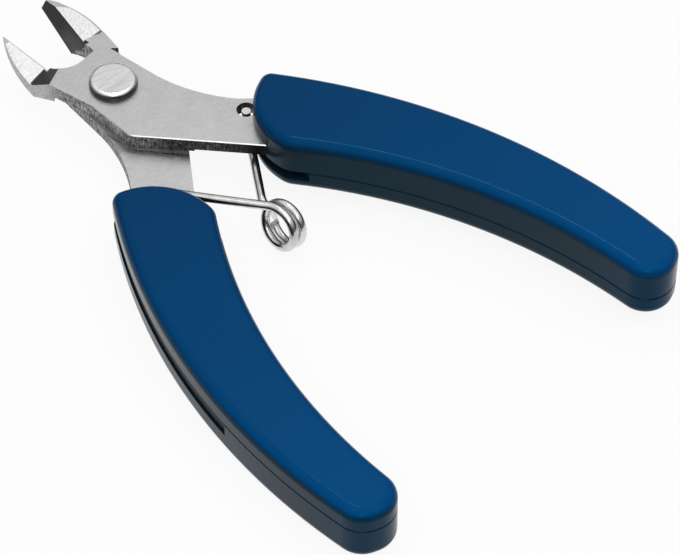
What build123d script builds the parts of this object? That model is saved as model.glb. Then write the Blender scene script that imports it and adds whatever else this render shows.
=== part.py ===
from build123d import *
import math
import os

# Precision side cutter: two stamped plates lapped on a rivet, a wire return spring and
# a pair of moulded half-shells on each handle. Millimetres, +Z up, jaws towards +Y.
# While modelling, the pivot axis is the Z axis and the plates meet on the XY plane.
# Each half is drawn as it stands with the jaws shut: cutting edge on its own Y axis,
# jaw on its -X side, handle on its +X side. The rear half is the front half turned over.

# Opening and plates
open_angle = 22.4            # between the two halves at rest
plate_t = 2.6                # thickness of each plate
lap_gap = 0.02               # from each plate to the plane where they meet
edge_gap = 0.02              # from each cutting edge to the plane where they meet
edge_break = 0.15            # small chamfer on the plates' outlines

# Jaw
edge_root_y = 13.7           # cutting edge begins, from the pivot
front_tip_y = 22.2           # cutting edge ends, on the front half
rear_tip_y = 22.9            # and on the rear half
front_tip_w = 0.6            # width of the blunt end of the front jaw
rear_tip_w = 1.2             # and of the rear jaw
jaw_w = 5.8                  # width of the jaw at its root
jaw_root_y = 12.4            # where the outer curve of the jaw begins
jaw_bulge = 0.9              # how far that curve stands out from straight
head_rise = 19.0             # slope of the flush side, in degrees
flush_root_z = -1.9          # height of the cutting edge at its root
bevel_angle = 35.0           # bevel above the cutting edge, from upright
facet_root_y = 12.8          # ground facet begins
facet_root_x = 1.96          # its inner corner there, from the cutting plane
facet_root_z = 0.63          # and that corner's height
facet_rise = 14.8            # slope of the facet along the jaw
front_facet_tilt = -8.0      # slope across the front jaw, lower outside
rear_facet_tilt = 12.3       # slope across the rear jaw, higher outside
front_root_angle = 32.0      # ramp from the front plate's face down to its facet
rear_shelf_z = 1.0           # height of the flat ledge behind the rear jaw's facet
rear_rim = 0.5               # bevel along the outer edge of the rear jaw's facet
heel_ramp_z = -0.9           # underside of the front jaw where it leaves the shoulder
heel_ramp_angle = 18.0       # and its slope from there down to the flush side
scallop_bulge = 1.75         # hollow behind the cutting edge
lap_r = 9.55                 # corner of each plate that swings under the other jaw
lap_clear = 0.3              # clearance round that corner

# Body and shank of the plate, on its own X and Y
head_w = 5.9                 # from the pivot to the jaw side of the head
heel_y = -8.9                # corner of the heel
heel_w = 6.8
heel_r = 1.6
shank_angle = 27.6           # heel edge, from the Y axis
back_top_w = 6.6             # back edge at the lap corner
back_waist_w = 5.6           # narrowest place of the back edge
back_waist_y = -5.0
back_bend = (6.35, -12.6)    # on the curve that leads into the shank
back_out = (8.6, -18.8)      # where that curve ends
notch_end_x = 1.93           # hollow between lap corner and jaw
notch_end_y = 7.44
notch_r = 4.62
coin_depth = 0.35            # step pressed into each mating face, handle side of a bent line
coin_line = [(8.0, 1.6), (3.81, -12.06), (-4.4, -19.45)]
coin_end_y = -30.0

# Pivot rivet
rivet_r = 2.5
rivet_bore_clear = 0.05      # running clearance in the front plate
rivet_seat_clear = 0.01      # tight seat in the rear plate
rivet_head_r = 4.0
rivet_head_t = 1.4
rivet_head_edge = 0.75
rivet_tail_r = 3.6
rivet_tail_t = 0.7

# Grips
grip_h = 10.7                # both half-shells together
grip_out_front = (13.5, -20.9)   # corners of the grip before they are rounded
grip_out_end = (18.05, -96.75)
grip_in_front = (1.5, -33.2)
grip_in_end = (7.7, -98.7)
grip_nose = (4.9, -24.6)     # on the slanting front edge
grip_out_r = 108.2           # outer side curve
grip_in_r = 97.8             # inner side curve
grip_end_r = 4.6
grip_corner_r = 2.0
grip_heel_r = 4.2
grip_edge_r = 1.8            # rounding all round the top and the bottom
seam_break = 0.18            # small chamfer along the seam
tang_clear = 0.08            # moulded seat round the tang
tang_flush = 0.35            # tang edge in the side slot, below the grip's surface
tang_wall = 2.9              # grip wall elsewhere
tang_full_y = -31.0          # tang reaches full width
slot_end_y = -68.0           # end of the open side slot
slot_reach = 3.0             # the slot is cut from this far outside the grip
tang_end_y = -84.0
peg_r = 1.6
peg_clear = 0.15
peg_sink = 1.2
peg_ys = (-44.0, -76.0)

# Return spring
wire_d = 1.5
wire_lift = 0.1              # from the wire to the plate that it lies on
hook_x = 7.2                 # hole for the bent end, on each plate
hook_y = -21.4
hook_hole_r = 1.6
hook_bend_r = 1.0
hook_short = 0.3             # bent end stops this far inside the plate's far face
coil_r = 3.6
coil_pitch = 1.9
coil_turns = 1.65
coil_x = 0.15
coil_y = -39.0
coil_z = -1.3
coil_tilt = 14.0             # coil axis dips towards the front handle
coil_cut = 0.75              # turns on the rear arm, the rest on the front arm
coil_lap = 0.05              # spare turn on each arm before it is trimmed
knee_run = 1.2               # straight run from the coil to the rear arm's bend
knee_r = 4.0
front_bend_x = 1.5           # where the front arm straightens out after the coil
front_bend_y = -32.9
arm_gap = 0.03               # from each arm to the level where they meet
front_pocket_depth = 1.85    # relief for the arms in the inner half-shells
rear_pocket_depth = 3.0
pocket_clear = 0.95


# A half's own plane. side is 1 for the front half and -1 for the rear half.
def half_plane(side):
    turn = math.radians(open_angle / 2)
    return Plane(origin=(0, 0, 0), x_dir=(side * math.cos(turn), math.sin(turn), 0), z_dir=(0, 0, side))


# Centre of a side of the grip, from its two corners and its radius
def side_centre(front, end, radius):
    half_chord = math.dist(front, end) / 2
    reach = math.sqrt(radius**2 - half_chord**2) / (2 * half_chord)
    mid_x = (front[0] + end[0]) / 2
    mid_y = (front[1] + end[1]) / 2
    return (mid_x + reach * (end[1] - front[1]), mid_y - reach * (end[0] - front[0]))


grip_out_c = side_centre(grip_out_front, grip_out_end, grip_out_r)
grip_in_c = side_centre(grip_in_front, grip_in_end, grip_in_r)
lap_y = math.sqrt(lap_r**2 - back_top_w**2)


# Where a round side of the grip, inset by some amount, lies at a height y
def outer_x(y, inset=0.0):
    return grip_out_c[0] + math.sqrt((grip_out_r - inset) ** 2 - (y - grip_out_c[1]) ** 2)


def inner_x(y, inset=0.0):
    return grip_in_c[0] + math.sqrt((grip_in_r + inset) ** 2 - (y - grip_in_c[1]) ** 2)


def outer_arc(y_from, y_to, inset=0.0):
    y_mid = (y_from + y_to) / 2
    ends = [(outer_x(y, inset), y) for y in (y_from, y_mid, y_to)]
    return ThreePointArc(*ends)


def inner_arc(y_from, y_to, inset=0.0):
    y_mid = (y_from + y_to) / 2
    ends = [(inner_x(y, inset), y) for y in (y_from, y_mid, y_to)]
    return ThreePointArc(*ends)


# Point on the hollow between lap corner and jaw, an angle round from its start
def notch_point(angle):
    turn = math.radians(angle)
    return (notch_end_x - notch_r * math.sin(turn), notch_end_y + notch_r * (1 - math.cos(turn)))


# Outline of a whole plate: jaw, head, heel, shank and tang
def plate_outline(side):
    edge_tip_y = front_tip_y if side > 0 else rear_tip_y
    tip_w = front_tip_w if side > 0 else rear_tip_w
    shank_slope = math.tan(math.radians(shank_angle))
    tang_in_y = tang_full_y
    tang_in_x = inner_x(tang_in_y, tang_wall)
    heel_x = tang_in_x + (tang_in_y - heel_y) * shank_slope
    notch_mid = notch_point(30)
    notch_far = notch_point(60)
    jaw_l = math.dist((tip_w, edge_tip_y), (jaw_w, jaw_root_y))
    jaw_out = ((edge_tip_y - jaw_root_y) * jaw_bulge / jaw_l, (jaw_w - tip_w) * jaw_bulge / jaw_l)
    jaw_mid = ((jaw_w + tip_w) / -2 - jaw_out[0], (edge_tip_y + jaw_root_y) / 2 + jaw_out[1])
    with BuildLine() as outline:
        Line((-edge_gap, edge_root_y), (-edge_gap, edge_tip_y))
        Line((-edge_gap, edge_tip_y), (-tip_w, edge_tip_y))
        ThreePointArc((-tip_w, edge_tip_y), jaw_mid, (-jaw_w, jaw_root_y))
        Line((-jaw_w, jaw_root_y), (-head_w, 0))
        Line((-head_w, 0), (heel_x, heel_y))
        Line((heel_x, heel_y), (tang_in_x, tang_in_y))
        inner_arc(tang_in_y, tang_end_y, tang_wall)
        Line((inner_x(tang_end_y, tang_wall), tang_end_y), (outer_x(tang_end_y, tang_wall), tang_end_y))
        outer_arc(tang_end_y, slot_end_y, tang_wall)
        Line((outer_x(slot_end_y, tang_wall), slot_end_y), (outer_x(slot_end_y, tang_flush), slot_end_y))
        outer_arc(slot_end_y, tang_full_y, tang_flush)
        Line((outer_x(tang_full_y, tang_flush), tang_full_y), back_out)
        ThreePointArc(back_out, back_bend, (back_waist_w, back_waist_y))
        Line((back_waist_w, back_waist_y), (back_top_w, lap_y))
        Line((back_top_w, lap_y), (notch_end_x, notch_end_y))
        ThreePointArc((notch_end_x, notch_end_y), notch_mid, notch_far)
        scallop_mid = (-scallop_bulge, (edge_root_y + notch_far[1]) / 2)
        ThreePointArc(notch_far, scallop_mid, (-edge_gap, edge_root_y))
    return outline.line


# Face of a grip seen along the pivot
def grip_face():
    with BuildSketch() as face:
        with BuildLine():
            ThreePointArc(grip_out_front, grip_nose, grip_in_front)
            inner_arc(grip_in_front[1], grip_in_end[1])
            Line(grip_in_end, grip_out_end)
            outer_arc(grip_out_end[1], grip_out_front[1])
        make_face()
        fillet(face.vertices().sort_by_distance(grip_in_end)[:1], grip_end_r)
        fillet(face.vertices().sort_by_distance(grip_out_end)[:1], grip_end_r)
        fillet(face.vertices().sort_by_distance(grip_in_front)[:1], grip_heel_r)
        fillet(face.vertices().sort_by_distance(grip_out_front)[:1], grip_corner_r)
    return face.sketch


# Planes of the ground faces of a jaw, drawn in a half's own frame. The jaws are ground as
# a pair from above, so on the rear half, which is turned over, up is its -Z.
def flush_height(y):
    return flush_root_z + (y - edge_root_y) * math.tan(math.radians(head_rise))


def ground_plane(half, side, point, slope_x, slope_y):
    normal = Vector(-slope_x, -slope_y, 1).normalized()
    up = half.from_local_coords(Vector(normal.X, normal.Y, normal.Z * side)) - half.origin
    along = half.from_local_coords(Vector(0, 1, slope_y * side)) - half.origin
    start = half.from_local_coords(Vector(point[0], point[1], point[2] * side))
    return Plane(origin=start, x_dir=along, z_dir=up)


def jaw_plate(side):
    half = half_plane(side)
    facet_tilt = math.tan(math.radians(front_facet_tilt if side > 0 else rear_facet_tilt))
    facet_root = (-facet_root_x, facet_root_y, facet_root_z)
    side_view = Plane(origin=(0, 0, 0), x_dir=half.y_dir, z_dir=half.x_dir)
    shoulder_r = lap_r + lap_clear
    reach = 12.0
    with BuildPart() as plate:
        # Flat plate with its small chamfers
        with BuildSketch(half.offset(lap_gap)):
            add(plate_outline(side))
            make_face()
        extrude(amount=plate_t - lap_gap)
        heel = plate.edges().filter_by(Axis.Z).filter_by_position(Axis.Z, -plate_t, plate_t)
        heel_corner = half.from_local_coords(Vector(-heel_w, heel_y, 0))
        fillet(heel.sort_by_distance(heel_corner)[:1], heel_r)
        outer_face = plate.faces().filter_by(Axis.Z).sort_by(Axis.Z)[-1 if side > 0 else 0]
        rim = [edge for edge in outer_face.edges() if tang_full_y < half.to_local_coords(edge @ 0.5).Y < lap_y / 2]
        chamfer(rim, edge_break)
        # Thick jaw, beyond the arc that the other plate's corner swings along
        with BuildSketch(half.offset(-plate_t)):
            add(plate_outline(side))
            make_face()
            with Locations((0, shoulder_r / 2 - 100)):
                Rectangle(200, 200 + shoulder_r / 2, mode=Mode.SUBTRACT)
            Circle(shoulder_r, mode=Mode.SUBTRACT)
        extrude(amount=plate_t + plate_t / 2)
        # Flush side, sloping up to the tips
        flush_start_y = edge_root_y + (-plate_t - flush_root_z) / math.tan(math.radians(head_rise))
        with BuildSketch(side_view):
            with BuildLine():
                Polyline(
                    (flush_start_y, -plate_t * side),
                    (flush_start_y + 2 * reach, flush_height(flush_start_y + 2 * reach) * side),
                    (flush_start_y + 2 * reach, -2 * reach * side),
                    (flush_start_y, -2 * reach * side),
                    close=True,
                )
            make_face()
        extrude(amount=reach, both=True, mode=Mode.SUBTRACT)
        # Facet on top of the jaw
        facet = ground_plane(half, side, facet_root, -facet_tilt, math.tan(math.radians(facet_rise)))
        with BuildSketch(facet):
            Rectangle(2 * reach, 2 * reach, align=(Align.MIN, Align.CENTER))
        extrude(amount=reach, mode=Mode.SUBTRACT)
        # Bevel down to the cutting edge
        bevel = ground_plane(
            half,
            side,
            (0, edge_root_y, flush_root_z),
            -1 / math.tan(math.radians(bevel_angle)),
            math.tan(math.radians(head_rise)),
        )
        with BuildSketch(bevel.shift_origin(bevel.from_local_coords((facet_root_y - edge_root_y, 0, 0)))):
            Rectangle(2 * reach, 2 * reach, align=(Align.MIN, Align.CENTER))
        extrude(amount=reach, mode=Mode.SUBTRACT)
        # Behind the facet: a ramp on the front plate, a flat ledge on the rear one
        if side > 0:
            root = ground_plane(half, side, facet_root, -facet_tilt, -math.tan(math.radians(front_root_angle)))
            with BuildSketch(root):
                Rectangle(2 * reach, 2 * reach, align=(Align.MAX, Align.CENTER))
            extrude(amount=reach, mode=Mode.SUBTRACT)
            # Underside of its thick jaw, blended up to the plate behind the flush side
            ramp_y = math.sqrt(shoulder_r**2 - head_w**2)
            ramp_end_z = heel_ramp_z - reach * math.tan(math.radians(heel_ramp_angle))
            with BuildSketch(side_view):
                with BuildLine():
                    Polyline(
                        (ramp_y, heel_ramp_z * side),
                        (ramp_y + reach, ramp_end_z * side),
                        (ramp_y + reach, -2 * reach * side),
                        (ramp_y, -2 * reach * side),
                        close=True,
                    )
                make_face()
            extrude(amount=reach, both=True, mode=Mode.SUBTRACT)
        else:
            facet_face = plate.faces().sort_by(lambda face: face.normal_at().dot(facet.z_dir))[-1]
            outer_side = half.from_local_coords(Vector(-jaw_w, (rear_tip_y + jaw_root_y) / 2, 0))
            chamfer(facet_face.edges().sort_by_distance(outer_side)[:1], rear_rim)
            with BuildSketch(half.offset(-rear_shelf_z)):
                with Locations((0, facet_root_y)):
                    Rectangle(2 * reach, facet_root_y, align=(Align.CENTER, Align.MAX))
            extrude(amount=-reach, mode=Mode.SUBTRACT)
        # Step pressed into the mating face of the shank
        with BuildSketch(half):
            with BuildLine():
                Polyline(*coin_line, (coin_line[-1][0], coin_end_y), (grip_out_end[0], coin_end_y), close=True)
            make_face()
        extrude(amount=lap_gap + coin_depth, mode=Mode.SUBTRACT)
        # Rivet bore, spring hole and holes for the pegs of the grips
        bore = rivet_bore_clear if side > 0 else rivet_seat_clear
        with BuildSketch(half):
            Circle(rivet_r + bore)
            with Locations((hook_x, hook_y)):
                Circle(hook_hole_r)
            with Locations(*peg_places()):
                Circle(peg_r + peg_clear)
        extrude(amount=plate_t, mode=Mode.SUBTRACT)
    return plate.part


def peg_places():
    return [((outer_x(y) + inner_x(y)) / 2, y) for y in peg_ys]


# One half-shell. outward is True for the shell that holds the tang, on the plate's outer face.
# The two shells meet at the level where the plates meet.
def grip_shell(side, outward):
    half = half_plane(side)
    way = 1 if outward else -1
    height = grip_h / 2 + plate_t / 2 * way
    with BuildPart() as shell:
        with BuildSketch(half):
            add(grip_face())
        extrude(amount=height * way)
        ends = shell.faces().filter_by(Axis.Z).sort_by(Axis.Z)
        far_face = ends[-1] if way * side > 0 else ends[0]
        seam_face = ends[0] if way * side > 0 else ends[-1]
        seam_edges = seam_face.edges()
        fillet(far_face.edges(), grip_edge_r)
        chamfer(seam_edges, seam_break)
        if outward:
            # Seat for the tang, open along the outer side as a slot
            with BuildSketch(half):
                with BuildSketch(mode=Mode.PRIVATE) as tang:
                    add(plate_outline(side))
                    make_face()
                offset(tang.sketch, amount=tang_clear)
                with BuildLine():
                    outer_arc(grip_out_front[1], slot_end_y, -slot_reach)
                    Line((outer_x(slot_end_y, -slot_reach), slot_end_y), (outer_x(slot_end_y, tang_wall), slot_end_y))
                    outer_arc(slot_end_y, tang_full_y, tang_wall)
                    Line((outer_x(tang_full_y, tang_wall), tang_full_y), back_out)
                    Line(back_out, (outer_x(grip_out_front[1], -slot_reach), grip_out_front[1]))
                make_face()
            extrude(amount=plate_t + tang_clear, mode=Mode.SUBTRACT)
            # Pegs through the tang into the other shell
            with BuildSketch(half.offset(plate_t + tang_clear)):
                with Locations(*peg_places()):
                    Circle(peg_r)
            extrude(amount=-(plate_t + tang_clear + peg_sink - peg_clear))
        else:
            with BuildSketch(half):
                with Locations(*peg_places()):
                    Circle(peg_r + peg_clear)
            extrude(amount=-peg_sink, mode=Mode.SUBTRACT)
            # Relief that the spring's arm swings into as the handles close
            pocket_depth = front_pocket_depth if side > 0 else rear_pocket_depth
            leg_end = meet if side > 0 else rear_knee
            with BuildSketch(half.offset(-pocket_depth)):
                with BuildLine():
                    Polyline((hook_x, hook_y), arm_rest(side, leg_end), arm_shut(side, leg_end), close=True)
                make_face()
                offset(amount=wire_d / 2 + pocket_clear)
            extrude(amount=pocket_depth, mode=Mode.SUBTRACT)
    return shell.part


# The coil, its two ends and the place where the two arms meet
def coil_plane(turn=0.0):
    tilt = math.radians(coil_tilt)
    axis = Vector(math.cos(tilt), 0, -math.sin(tilt))
    top = Vector(math.sin(tilt), 0, math.cos(tilt))
    side = axis.cross(top)
    start = Vector(coil_x, coil_y, coil_z) + axis * (coil_pitch * (turn - coil_turns / 2))
    angle = math.radians(360 * turn)
    return Plane(origin=start, x_dir=top * math.cos(angle) + side * math.sin(angle), z_dir=axis)


def coil_piece(turn_from, turn_to):
    spiral = Helix(coil_pitch, coil_pitch * (turn_to - turn_from), coil_r)
    return coil_plane(turn_from) * spiral


meet = coil_plane(coil_cut).from_local_coords(Vector(coil_r, 0, 0))


# Where a point of an arm lies in a half's own frame, at rest and with the jaws shut
def arm_rest(side, point):
    spot = half_plane(side).to_local_coords(point)
    return (spot.X, spot.Y)


def arm_shut(side, point):
    joint = arm_rest(side, meet)
    drop = math.sqrt(math.dist(joint, (hook_x, hook_y)) ** 2 - hook_x**2)
    turn = math.atan2(-drop, -hook_x) - math.atan2(joint[1] - hook_y, joint[0] - hook_x)
    spot = arm_rest(side, point)
    run = (spot[0] - hook_x, spot[1] - hook_y)
    return (
        hook_x + run[0] * math.cos(turn) - run[1] * math.sin(turn),
        hook_y + run[0] * math.sin(turn) + run[1] * math.cos(turn),
    )


def hook_point(side, z):
    spot = half_plane(side).from_local_coords(Vector(hook_x, hook_y, 0))
    return Vector(spot.X, spot.Y, z)


def wire_along(path):
    with BuildPart() as wire:
        with BuildSketch(Plane(origin=path @ 0, z_dir=path % 0)):
            Circle(wire_d / 2)
        sweep(path=path)
    return wire.part


arm_level = wire_d / 2 + wire_lift
hook_deep = plate_t - hook_short
trim = 2 * wire_d

# Rear arm: hooks down into the rear plate and carries the first turns
rear_coil = coil_piece(0, coil_cut + coil_lap)
rear_knee = rear_coil @ 0 - (rear_coil % 0) * knee_run
with BuildPart() as spring_rear_arm:
    with BuildLine() as rear_path:
        FilletPolyline(
            hook_point(-1, -hook_deep),
            hook_point(-1, arm_level),
            rear_knee,
            rear_coil @ 0,
            radius=[hook_bend_r, knee_r],
        )
        add(rear_coil)
    add(wire_along(rear_path.wire()))
    with Locations((meet.X, meet.Y, meet.Z - arm_gap)):
        Box(trim, trim, trim, align=(Align.CENTER, Align.CENTER, Align.MIN), mode=Mode.SUBTRACT)

# Front arm: the last turns, then up into the front plate
front_coil = coil_piece(coil_cut - coil_lap, coil_turns)
front_bend = Vector(front_bend_x, front_bend_y, -arm_level)
front_hook = hook_point(1, -arm_level)
with BuildPart() as spring_front_arm:
    with BuildLine() as front_path:
        add(front_coil)
        Spline(front_coil @ 1, front_bend, tangents=[front_coil % 1, front_hook - front_bend])
        FilletPolyline(front_bend, front_hook, hook_point(1, hook_deep), radius=hook_bend_r)
    add(wire_along(front_path.wire()))
    with Locations((meet.X, meet.Y, meet.Z + arm_gap)):
        Box(trim, trim, trim, align=(Align.CENTER, Align.CENTER, Align.MAX), mode=Mode.SUBTRACT)

# Rivet: broad flat head in front, smaller formed head behind
with BuildPart() as pivot_rivet:
    with BuildSketch(Plane.XY.offset(-plate_t)):
        Circle(rivet_r)
    extrude(amount=2 * plate_t)
    with BuildSketch(Plane.XY.offset(plate_t)):
        Circle(rivet_head_r)
    extrude(amount=rivet_head_t)
    fillet(pivot_rivet.edges().group_by(Axis.Z)[-1], rivet_head_edge)
    with BuildSketch(Plane.XY.offset(-plate_t)):
        Circle(rivet_tail_r)
    extrude(amount=-rivet_tail_t)
    fillet(pivot_rivet.edges().group_by(Axis.Z)[0], rivet_tail_t / 2)

pieces = {
    "front_plate": jaw_plate(1),
    "rear_plate": jaw_plate(-1),
    "pivot_rivet": pivot_rivet.part,
    "front_grip_upper": grip_shell(1, True),
    "front_grip_lower": grip_shell(1, False),
    "rear_grip_upper": grip_shell(-1, False),
    "rear_grip_lower": grip_shell(-1, True),
    "spring_rear_arm": spring_rear_arm.part,
    "spring_front_arm": spring_front_arm.part,
}

# The finished tool stands on Z = 0 with the middle of its plan on the Z axis
box = Compound(list(pieces.values())).bounding_box()
stand = Vector(-(box.min.X + box.max.X) / 2, -(box.min.Y + box.max.Y) / 2, -box.min.Z)
for name, piece in pieces.items():
    placed = piece.moved(Location(stand))
    placed.label = name
    export_step(placed, f"parts/{name}.step")

print("pivot", stand)
print("rear hook", stand + hook_point(-1, 0), "arms meet", stand + meet, "front hook", stand + hook_point(1, 0))
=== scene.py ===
import bmesh
import bpy
from mathutils import Matrix, Vector


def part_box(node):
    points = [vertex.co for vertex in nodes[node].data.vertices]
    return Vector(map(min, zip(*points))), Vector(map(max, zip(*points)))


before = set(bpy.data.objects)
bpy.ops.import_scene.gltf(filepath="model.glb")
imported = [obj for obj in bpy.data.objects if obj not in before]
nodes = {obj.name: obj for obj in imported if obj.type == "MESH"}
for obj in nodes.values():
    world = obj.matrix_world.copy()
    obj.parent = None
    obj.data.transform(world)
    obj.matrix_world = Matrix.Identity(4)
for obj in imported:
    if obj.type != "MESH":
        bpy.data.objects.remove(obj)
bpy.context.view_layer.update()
print("frame loaded:", len(nodes), "nodes")

scene = bpy.context.scene
scene.view_settings.view_transform = "Standard"

pivot = Vector((0.0, 0.0353057, 0.00665))  # where the rivet crosses the plane between the plates
noiseRange = (0.3, 0.7)  # most of a noise pattern lies between these
mixSockets = {"RGBA": (6, 7, 2), "FLOAT": (2, 3, 0)}  # the Mix node's two inputs and its output


# small helpers for the material nodes
def newMaterial(name):
    material = bpy.data.materials.new(name)
    material.use_nodes = True
    tree = material.node_tree
    return material, tree, tree.nodes["Principled BSDF"]


def place(tree, kind, **settings):
    node = tree.nodes.new(kind)
    for key, value in settings.items():
        setattr(node, key, value)
    return node


def feed(tree, socket, value):
    if isinstance(value, bpy.types.NodeSocket):
        tree.links.new(value, socket)
    elif isinstance(value, tuple):
        socket.default_value = (*value, 1)
    else:
        socket.default_value = value


def objectCoords(tree, scale=1.0, turn=0.0, start=(0, 0)):
    coords = place(tree, "ShaderNodeTexCoord")
    mapping = place(tree, "ShaderNodeMapping", vector_type="TEXTURE")
    mapping.inputs["Location"].default_value = (*start, 0)
    mapping.inputs["Rotation"].default_value = (0, 0, turn)
    mapping.inputs["Scale"].default_value = scale if isinstance(scale, tuple) else (scale,) * 3
    tree.links.new(coords.outputs["Object"], mapping.inputs["Vector"])
    return mapping.outputs["Vector"]


def noise(tree, vector, detail=3.0, roughness=0.5):
    node = place(tree, "ShaderNodeTexNoise")
    node.inputs["Scale"].default_value = 1.0
    node.inputs["Detail"].default_value = detail
    node.inputs["Roughness"].default_value = roughness
    tree.links.new(vector, node.inputs["Vector"])
    return node.outputs["Fac"]


def streaks(tree, length, width, angle, detail, roughness):
    return noise(tree, objectCoords(tree, (length, width, width), angle), detail, roughness)


def remap(tree, value, fromMin, fromMax, toMin=0.0, toMax=1.0):
    node = place(tree, "ShaderNodeMapRange")
    numbers = {"From Min": fromMin, "From Max": fromMax, "To Min": toMin, "To Max": toMax}
    for socket, number in numbers.items():
        node.inputs[socket].default_value = number
    tree.links.new(value, node.inputs["Value"])
    return node.outputs["Result"]


def math(tree, operation, *values):
    node = place(tree, "ShaderNodeMath", operation=operation)
    for socket, value in zip(node.inputs, values):
        feed(tree, socket, value)
    return node.outputs["Value"]


def blend(tree, kind, factor, *values):
    node = place(tree, "ShaderNodeMix", data_type=kind)
    tree.links.new(factor, node.inputs["Factor"])
    *inputs, output = mixSockets[kind]
    for index, value in zip(inputs, values):
        feed(tree, node.inputs[index], value)
    return node.outputs[output]


def blendColours(tree, factor, first, second):
    return blend(tree, "RGBA", factor, first, second)


def blendValues(tree, factor, first, second):
    return blend(tree, "FLOAT", factor, first, second)


def part(tree, vector, axis):
    node = place(tree, "ShaderNodeSeparateXYZ")
    tree.links.new(vector, node.inputs["Vector"])
    return node.outputs[axis]


def upness(tree):
    # 1 on faces square to the rivet, 0 on upright walls
    coords = place(tree, "ShaderNodeTexCoord")
    return math(tree, "ABSOLUTE", part(tree, coords.outputs["Normal"], "Z"))


def between(tree, value, low, high, fade):
    above = remap(tree, value, low - fade, low)
    below = remap(tree, value, high + fade, high)
    return math(tree, "MULTIPLY", above, below)


def past(tree, value, start, fade):
    return remap(tree, value, start - fade, start + fade)


def weighted(tree, *pairs):
    total = 0.0
    for value, weight in pairs:
        total = math(tree, "ADD", math(tree, "MULTIPLY", value, weight), total)
    return total


def unevenPolish(tree, pattern, roughness, look):
    # a rough surface that is a little smoother or duller from spot to spot
    return remap(tree, pattern, *noiseRange, roughness - look["smoother"], roughness + look["duller"])


def bump(tree, shader, height, look):
    node = place(tree, "ShaderNodeBump")
    node.inputs["Strength"].default_value = look["bumpStrength"]
    node.inputs["Distance"].default_value = look["bumpDepth"]
    tree.links.new(height, node.inputs["Height"])
    tree.links.new(node.outputs["Normal"], shader.inputs["Normal"])


def dress(material, *nodeNames):
    for nodeName in nodeNames:
        mesh = nodes[nodeName].data
        mesh.materials.clear()
        mesh.materials.append(material)


# plates: fine brushed faces, ground jaws, torn edges from the blanking, darkened further with painted shade
# Tone is the part of a pattern that runs from shade to colour, Noise its detail and roughness.
# Slope is measured by upness, from and to, then the width of the blend where there is one.
plateFinish = {
    "face": (0.64, 0.64, 0.64),
    "faceShade": (0.49, 0.49, 0.49),
    "faceTone": (0.38, 0.6),
    "faceMix": (0.45, 0.35, 0.2),  # shares of grain, speck and stain
    "faceRoughness": 0.37,
    "smoother": 0.05,
    "duller": 0.06,
    "grainAngle": -0.14,  # brushing runs lower left to upper right in the photo
    "grainLength": 0.0016,
    "grainWidth": 0.00016,
    "grainNoise": (4, 0.6),
    "speck": 0.0002,
    "speckNoise": (2, 0.6),
    "stain": 0.004,
    "stainNoise": (5, 0.6),
    "facet": (0.74, 0.74, 0.74),
    "facetShade": (0.54, 0.54, 0.54),
    "facetRoughness": 0.3,
    "facetSlope": (0.93, 0.985, 0.006),
    "grindAngle": 0.35,
    "grindLength": 0.006,
    "grindWidth": 0.0002,
    "grindNoise": (4, 0.65),
    "grindTone": (0.35, 0.6),
    "bevel": (0.26, 0.26, 0.26),  # steep bevel of the rear jaw, ground, painted dark as shade
    "bevelRoughness": 0.22,
    "bevelSlope": (0.54, 0.59, 0.02),
    "ramp": (0.07, 0.07, 0.07),  # slope down to the front jaw, painted near black as shade
    "rampSlope": (0.82, 0.86, 0.02),
    "corner": (1.0, 1.0, 1.0),  # painted highlight along the chamfer on the outline
    "cornerSlope": (0.68, 0.74, 0.02),
    # the upright edges are torn from the blanking and also painted dark as shade
    "edge": (0.18, 0.18, 0.18),
    "edgeShade": (0.01, 0.01, 0.01),
    "edgeRoughness": 0.5,
    "edgeSlope": (0.5, 0.3),
    "tornSize": (0.0003, 0.0003, 0.0008),
    "tornNoise": (5, 0.7),
    "tornTone": (0.42, 0.66),
    "tornRelief": (3.0, 0.5),  # out in the open and inside the grip
    "hidden": (0.006, 0.010, 0.014),  # blanked edge of the tang inside its grip, painted near black as shade in the slot
    "hiddenFrom": 0.015,
    "hiddenBlend": 0.006,
    "headEdge": (0.50, 0.50, 0.50),  # paler round the head than along the shank
    "headEdgeShade": (0.07, 0.07, 0.07),
    "headStart": 0.0215,
    "jawEdge": (0.60, 0.60, 0.60),  # the jaws are ground round the outside too
    "jawEdgeShade": (0.26, 0.26, 0.26),
    "jawStart": 0.042,
    "startBlend": 0.002,
    "innerWall": (-0.0002, 0.0004),
    "shoulder": (-0.00608, 0.02421),  # where the step across the rear shank begins
    "shoulderAngle": -0.929,
    "shoulderWidth": 0.0014,
    # the step is marked with machining waves and darkened by a painted shadow of the front plate's edge
    "shoulderMark": (0.36, 0.36, 0.36),
    "waveSize": (0.0011, 0.00045, 0.001),
    "waveNoise": (4, 0.7),
    "waveTone": (0.55, 0.78),
    "wavePull": 0.3,  # how much more the step is marked and darkened by painted shadow than what lies beside it
    "waveFade": 0.25,
    "bumpStrength": 0.35,
    "bumpDepth": 0.00003,
}


# machining waves along the step across the rear shank, darkened by a painted shadow of the front plate's
# edge
def shoulderMarks(tree, look):
    along = objectCoords(tree, 1.0, look["shoulderAngle"], look["shoulder"])
    away = math(tree, "ABSOLUTE", part(tree, along, "Y"))
    nearStep = remap(tree, away, look["shoulderWidth"], 0.0)
    waves = noise(tree, objectCoords(tree, look["waveSize"], look["shoulderAngle"]), *look["waveNoise"])
    marks = weighted(tree, (waves, 1.0), (nearStep, look["wavePull"]))
    marks = remap(tree, marks, *look["waveTone"])
    return math(tree, "MULTIPLY", marks, remap(tree, nearStep, 0.0, look["waveFade"]))


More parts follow.
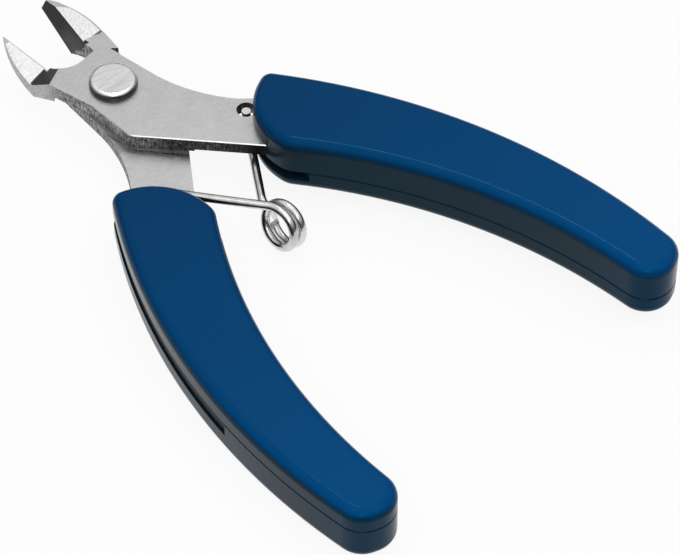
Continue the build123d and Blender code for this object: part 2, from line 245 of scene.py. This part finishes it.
def plateSteel(name, look, marked):
    material, tree, shader = newMaterial(name)
    shader.inputs["Metallic"].default_value = 1.0
    up = upness(tree)
    spot = objectCoords(tree)
    alongTool = part(tree, spot, "Y")
    onEdge = remap(tree, up, *look["edgeSlope"])
    onFacet = between(tree, up, *look["facetSlope"])
    onCorner = between(tree, up, *look["cornerSlope"])
    onBevel = between(tree, up, *look["bevelSlope"])
    onRamp = between(tree, up, *look["rampSlope"])
    onHead = past(tree, alongTool, look["headStart"], look["startBlend"])
    onJaw = past(tree, alongTool, look["jawStart"], look["startBlend"])
    # jaw walls that face inward keep the dark edge colour, as painted shade inside the throat
    sideways = part(tree, place(tree, "ShaderNodeTexCoord").outputs["Normal"], "X")
    outward = math(tree, "MULTIPLY", sideways, part(tree, spot, "X"))
    onJaw = math(tree, "MULTIPLY", onJaw, remap(tree, outward, *look["innerWall"]))
    inGrip = remap(tree, alongTool, look["hiddenFrom"], look["hiddenFrom"] - look["hiddenBlend"])

    grain = streaks(tree, look["grainLength"], look["grainWidth"], look["grainAngle"], *look["grainNoise"])
    grind = streaks(tree, look["grindLength"], look["grindWidth"], look["grindAngle"], *look["grindNoise"])
    speck = noise(tree, objectCoords(tree, look["speck"]), *look["speckNoise"])
    stain = noise(tree, objectCoords(tree, look["stain"]), *look["stainNoise"])
    torn = noise(tree, objectCoords(tree, look["tornSize"]), *look["tornNoise"])

    tone = weighted(tree, *zip((grain, speck, stain), look["faceMix"]))
    face = blendColours(tree, remap(tree, tone, *look["faceTone"]), look["faceShade"], look["face"])
    if marked:
        face = blendColours(tree, shoulderMarks(tree, look), face, look["shoulderMark"])
    grindTone = remap(tree, grind, *look["grindTone"])
    facet = blendColours(tree, grindTone, look["facetShade"], look["facet"])
    tornTone = remap(tree, torn, *look["tornTone"])
    edge = blendColours(tree, tornTone, look["edgeShade"], look["edge"])
    headEdge = blendColours(tree, tornTone, look["headEdgeShade"], look["headEdge"])
    edge = blendColours(tree, onHead, edge, headEdge)
    jawEdge = blendColours(tree, grindTone, look["jawEdgeShade"], look["jawEdge"])
    edge = blendColours(tree, onJaw, edge, jawEdge)
    edge = blendColours(tree, inGrip, edge, look["hidden"])

    colour = blendColours(tree, onFacet, face, facet)
    colour = blendColours(tree, onCorner, colour, look["corner"])
    colour = blendColours(tree, onBevel, colour, look["bevel"])
    colour = blendColours(tree, onRamp, colour, look["ramp"])
    colour = blendColours(tree, onEdge, colour, edge)
    tree.links.new(colour, shader.inputs["Base Color"])

    polish = unevenPolish(tree, stain, look["faceRoughness"], look)
    polish = blendValues(tree, onFacet, polish, look["facetRoughness"])
    polish = blendValues(tree, onBevel, polish, look["bevelRoughness"])
    polish = blendValues(tree, onEdge, polish, look["edgeRoughness"])
    tree.links.new(polish, shader.inputs["Roughness"])

    relief = blendValues(tree, onFacet, tone, grind)
    rugged = math(tree, "MULTIPLY", torn, remap(tree, inGrip, 0.0, 1.0, *look["tornRelief"]))
    relief = blendValues(tree, onEdge, relief, rugged)
    bump(tree, shader, relief, look)
    return material


dress(plateSteel("frontPlateSteel", plateFinish, False), "front_plate")
dress(plateSteel("rearPlateSteel", plateFinish, True), "rear_plate")

# rivet: bright brushed head, with a painted highlight on the rim and painted shade on the sides
rivetFinish = {
    "head": (0.80, 0.80, 0.80),
    "headShade": (0.64, 0.64, 0.64),
    "headTone": (0.38, 0.58),
    # painted highlight on the rounded rim
    "rim": (0.9, 0.9, 0.9),
    "rimSlope": (0.84, 0.985, 0.01),
    # painted shade on the upright sides
    "side": (0.06, 0.06, 0.06),
    "sideSlope": (0.7, 0.4),
    "roughness": 0.3,
    "smoother": 0.06,
    "duller": 0.06,
    "cloud": 0.002,
    "grainAngle": -0.14,
    "grainLength": 0.004,
    "grainWidth": 0.00024,
    "grainNoise": (4, 0.6),
    "bumpStrength": 0.4,
    "bumpDepth": 0.00003,
}


def rivetSteel(look):
    material, tree, shader = newMaterial("rivetSteel")
    shader.inputs["Metallic"].default_value = 1.0
    up = upness(tree)
    grain = streaks(tree, look["grainLength"], look["grainWidth"], look["grainAngle"], *look["grainNoise"])
    colour = blendColours(tree, remap(tree, grain, *look["headTone"]), look["headShade"], look["head"])
    colour = blendColours(tree, between(tree, up, *look["rimSlope"]), colour, look["rim"])
    colour = blendColours(tree, remap(tree, up, *look["sideSlope"]), colour, look["side"])
    tree.links.new(colour, shader.inputs["Base Color"])
    clouds = noise(tree, objectCoords(tree, look["cloud"]))
    tree.links.new(unevenPolish(tree, clouds, look["roughness"], look), shader.inputs["Roughness"])
    bump(tree, shader, grain, look)
    return material


dress(rivetSteel(rivetFinish), "pivot_rivet")

# spring: bright drawn wire, a little stained
wireFinish = {
    "bright": (0.76, 0.76, 0.75),
    "stain": (0.52, 0.52, 0.51),
    "patch": 0.003,
    "patchNoise": (4, 0.6),
    "patchTone": (0.35, 0.62),
    "roughness": 0.19,
    "smoother": 0.02,
    "duller": 0.03,
    "speck": 0.0006,
    "speckNoise": (2, 0.5),
    "bumpStrength": 0.02,
    "bumpDepth": 0.00002,
}


def wireSteel(look):
    material, tree, shader = newMaterial("wireSteel")
    shader.inputs["Metallic"].default_value = 1.0
    patches = noise(tree, objectCoords(tree, look["patch"]), *look["patchNoise"])
    colour = blendColours(tree, remap(tree, patches, *look["patchTone"]), look["stain"], look["bright"])
    tree.links.new(colour, shader.inputs["Base Color"])
    speck = noise(tree, objectCoords(tree, look["speck"]), *look["speckNoise"])
    tree.links.new(unevenPolish(tree, speck, look["roughness"], look), shader.inputs["Roughness"])
    bump(tree, shader, speck, look)
    return material


dress(wireSteel(wireFinish), "spring_rear_arm", "spring_front_arm")

# grips: moulded plastic, deep blue above and below, with painted shade making the sides near black
gripFinish = {
    "near": (0.0, 0.036, 0.118),  # by the jaws, darker as painted shade
    "far": (0.0, 0.064, 0.214),  # towards the ends
    "farSpan": (0.02, -0.05),  # along the tool, from near to far
    "toneMix": (0.8, 0.2),  # shares of the place along the tool and of the clouds
    "cloud": 0.012,
    "topSlope": (0.12, 0.72),
    # painted shade on the upright walls and in the band round the seam
    "side": (0.006, 0.018, 0.030),
    "seamHeight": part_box("front_grip_lower")[1][2],
    "sideHeight": 0.0029,  # the painted shade, up and down from the seam
    "sideBlend": 0.0004,
    "endSide": (0.0, 0.022, 0.052),  # painted shade, lighter round the tips
    "endSpan": (-0.044, -0.056),
    "roughness": 0.2,
    "specular": 0.15,
    "tint": (0.12, 0.62, 1.0, 1.0),
    "texture": 0.00035,
    "textureNoise": (2, 0.5),
    "bumpStrength": 0.12,
    "bumpDepth": 0.00003,
}


def gripPlastic(look):
    material, tree, shader = newMaterial("gripPlastic")
    spot = objectCoords(tree)
    alongTool = part(tree, spot, "Y")
    clouds = noise(tree, objectCoords(tree, look["cloud"]))
    # the top darkens towards the jaws as painted shade, with random clouds on it
    towardsEnd = remap(tree, alongTool, *look["farSpan"])
    tone = weighted(tree, *zip((towardsEnd, clouds), look["toneMix"]))
    top = blendColours(tree, tone, look["near"], look["far"])
    # the walls and the band round the seam take the painted shade
    side = blendColours(tree, remap(tree, alongTool, *look["endSpan"]), look["side"], look["endSide"])
    fromSeam = math(tree, "ABSOLUTE", math(tree, "SUBTRACT", part(tree, spot, "Z"), look["seamHeight"]))
    outside = remap(tree, fromSeam, look["sideHeight"], look["sideHeight"] + look["sideBlend"])
    onTop = math(tree, "MULTIPLY", remap(tree, upness(tree), *look["topSlope"]), outside)
    tree.links.new(blendColours(tree, onTop, side, top), shader.inputs["Base Color"])
    shader.inputs["Roughness"].default_value = look["roughness"]
    shader.inputs["Specular IOR Level"].default_value = look["specular"]
    shader.inputs["Specular Tint"].default_value = look["tint"]
    bump(tree, shader, noise(tree, objectCoords(tree, look["texture"]), *look["textureNoise"]), look)
    return material


dress(gripPlastic(gripFinish), "front_grip_upper", "front_grip_lower", "rear_grip_upper", "rear_grip_lower")
print("finishes dressed")

# camera: long lens, looking down across the tool from beyond the rear handle
cameraSetup = {
    "right": (0.7002, -0.7140, 0.0),
    "up": (0.5420, 0.5316, 0.6510),
    "back": (-0.4648, -0.4558, 0.7590),
    "place": (-0.2633, -0.3102, 0.4264),  # from the pivot
    "lens": 189.1,
    "sensor": 36,
    "nearest": 0.01,
}
cameraData = bpy.data.cameras.new("camera")
cameraData.lens = cameraSetup["lens"]
cameraData.sensor_width = cameraSetup["sensor"]
cameraData.sensor_fit = "HORIZONTAL"
cameraData.clip_start = cameraSetup["nearest"]
camera = bpy.data.objects.new("camera", cameraData)
turn = Matrix((cameraSetup["right"], cameraSetup["up"], cameraSetup["back"])).transposed().to_4x4()
camera.matrix_world = Matrix.Translation(pivot + Vector(cameraSetup["place"])) @ turn
scene.collection.objects.link(camera)
scene.camera = camera

# floor: white to the eye, with a soft shadow
floorSetup = {
    "halfSize": 3.0,
    "colour": (0.95, 0.95, 0.95),
    "roughness": 0.8,
    "glow": 0.9,  # share of plain white that the eye and mirrors see in it
}
floorMesh = bmesh.new()
bmesh.ops.create_grid(floorMesh, x_segments=1, y_segments=1, size=floorSetup["halfSize"])
floorData = bpy.data.meshes.new("floor")
floorMesh.to_mesh(floorData)
floorMesh.free()
floor = bpy.data.objects.new("floor", floorData)
scene.collection.objects.link(floor)
floorMaterial, floorTree, floorShader = newMaterial("paleFloor")
floorShader.inputs["Base Color"].default_value = (*floorSetup["colour"], 1)
floorShader.inputs["Roughness"].default_value = floorSetup["roughness"]
white = place(floorTree, "ShaderNodeEmission")
rays = place(floorTree, "ShaderNodeLightPath")
seen = math(floorTree, "MAXIMUM", rays.outputs["Is Camera Ray"], rays.outputs["Is Glossy Ray"])
seen = math(floorTree, "MAXIMUM", seen, rays.outputs["Is Transmission Ray"])
mixer = place(floorTree, "ShaderNodeMixShader")
floorTree.links.new(math(floorTree, "MULTIPLY", seen, floorSetup["glow"]), mixer.inputs["Fac"])
floorTree.links.new(floorShader.outputs["BSDF"], mixer.inputs[1])
floorTree.links.new(white.outputs["Emission"], mixer.inputs[2])
floorTree.links.new(mixer.outputs["Shader"], floorTree.nodes["Material Output"].inputs["Surface"])
floorData.materials.append(floorMaterial)

# studio: dim round the sides, bright high up, softer straight overhead
worldSetup = {
    "low": 0.10,
    "high": 0.92,
    "zenith": 0.45,
    "lowHeight": 0.25,
    "highHeight": 0.78,
}
world = bpy.data.worlds.new("studio")
scene.world = world
world.use_nodes = True
worldTree = world.node_tree
background = worldTree.nodes["Background"]
direction = place(worldTree, "ShaderNodeTexCoord")
height = part(worldTree, direction.outputs["Generated"], "Z")
heights = (worldSetup["lowHeight"], worldSetup["highHeight"])
glow = remap(worldTree, height, *heights, worldSetup["low"], worldSetup["high"])
cap = remap(worldTree, height, worldSetup["highHeight"], 1.0, worldSetup["high"], worldSetup["zenith"])
worldTree.links.new(math(worldTree, "MINIMUM", glow, cap), background.inputs["Strength"])
background.inputs["Color"].default_value = (1, 1, 1, 1)

lamps = {
    "overhead": {"place": (-0.08, -0.18, 1.0), "size": 1.0, "power": 3.2},
    "edgeLight": {"place": (0.33, 0.38, 1.0), "size": 0.1, "power": 0.5},
    "nearCamera": {"place": (-0.62, -0.62, 0.75), "size": 0.25, "power": 0.8},
}
for lampName, lamp in lamps.items():
    lampData = bpy.data.lights.new(lampName, "AREA")
    lampData.size = lamp["size"]
    lampData.energy = lamp["power"]
    lampObject = bpy.data.objects.new(lampName, lampData)
    lampObject.location = lamp["place"]
    lampObject.rotation_euler = (-Vector(lamp["place"])).to_track_quat("-Z", "Y").to_euler()
    scene.collection.objects.link(lampObject)
print("camera, floor and lamps placed")
